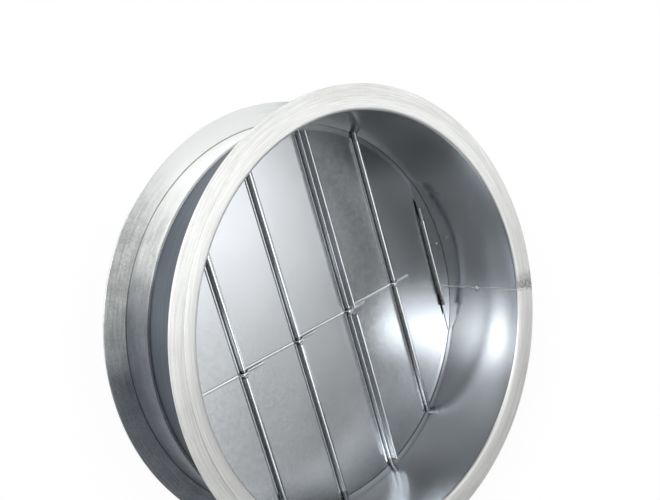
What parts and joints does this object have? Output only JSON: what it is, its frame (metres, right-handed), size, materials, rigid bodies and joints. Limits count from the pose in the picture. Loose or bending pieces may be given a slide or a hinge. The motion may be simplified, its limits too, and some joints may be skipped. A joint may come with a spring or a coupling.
{
  "type": "backdraft damper",
  "caption": "Round flanged duct section with hinged sheet-metal blades, linked by strips, that lie closed on a seat and swing open with the airflow.",
  "frame": {"origin": "centre of the rear flange face, on which the damper stands", "axes": "+Z along the duct axis towards the front mouth, +Y along the hinge rods, +X across the blades from each hinge to its free edge"},
  "size_m": [0.5624, 0.5624, 0.16],
  "materials": {
    "casing_sheet": "bright galvanised sheet with a fine spangle",
    "flange_steel": "galvanised rolled angle, brushed faces",
    "seat_sheet": "bright galvanised sheet",
    "blade_sheet": "smooth bright galvanised sheet",
    "rod_steel": "drawn zinc-plated rod",
    "strip_steel": "bright galvanised strip",
    "rivet_steel": "brownish tarnished rivet"
  },
  "bodies": {
    "duct_section": {"casing": "casing_sheet", "front_flange_ring": "flange_steel", "rear_flange_ring": "flange_steel", "seat_plate": "seat_sheet", "end_segment": "blade_sheet", "end_segment_wire": "rod_steel", "end_segment_rivet": "rivet_steel", "hinge_rod_1": "rod_steel", "hinge_rod_2": "rod_steel", "hinge_rod_3": "rod_steel", "hinge_rod_4": "rod_steel", "hinge_rod_5": "rod_steel"},
    "swing_blade_1": {"blade_1": "blade_sheet", "link_strip_1": "strip_steel"},
    "swing_blade_2": {"blade_2": "blade_sheet", "link_strip_2": "strip_steel"},
    "swing_blade_3": {"blade_3": "blade_sheet", "link_strip_3": "strip_steel"},
    "swing_blade_4": {"blade_4": "blade_sheet", "link_strip_4": "strip_steel"},
    "swing_blade_5": {"blade_5": "blade_sheet"}
  },
  "joints": [
    {"name": "blade_1_hinge", "type": "hinge", "parent": "duct_section", "child": "swing_blade_1", "pos_m": [-0.2195, 0, 0.03435], "axis": [0, -1, 0], "range_deg": [0, 50]},
    {"name": "blade_2_hinge", "type": "hinge", "parent": "duct_section", "child": "swing_blade_2", "pos_m": [-0.13, 0, 0.03435], "axis": [0, -1, 0], "range_deg": [0, 50]},
    {"name": "blade_3_hinge", "type": "hinge", "parent": "duct_section", "child": "swing_blade_3", "pos_m": [-0.0405, 0, 0.03435], "axis": [0, -1, 0], "range_deg": [0, 50]},
    {"name": "blade_4_hinge", "type": "hinge", "parent": "duct_section", "child": "swing_blade_4", "pos_m": [0.049, 0, 0.03435], "axis": [0, -1, 0], "range_deg": [0, 50]},
    {"name": "blade_5_hinge", "type": "hinge", "parent": "duct_section", "child": "swing_blade_5", "pos_m": [0.1385, 0, 0.03435], "axis": [0, -1, 0], "range_deg": [0, 50]}
  ],
  "couplings": [
    {"joint": "blade_1_hinge", "follows": "blade_3_hinge", "ratio": 1},
    {"joint": "blade_2_hinge", "follows": "blade_3_hinge", "ratio": 1},
    {"joint": "blade_4_hinge", "follows": "blade_3_hinge", "ratio": 1},
    {"joint": "blade_5_hinge", "follows": "blade_3_hinge", "ratio": 1}
  ]
}
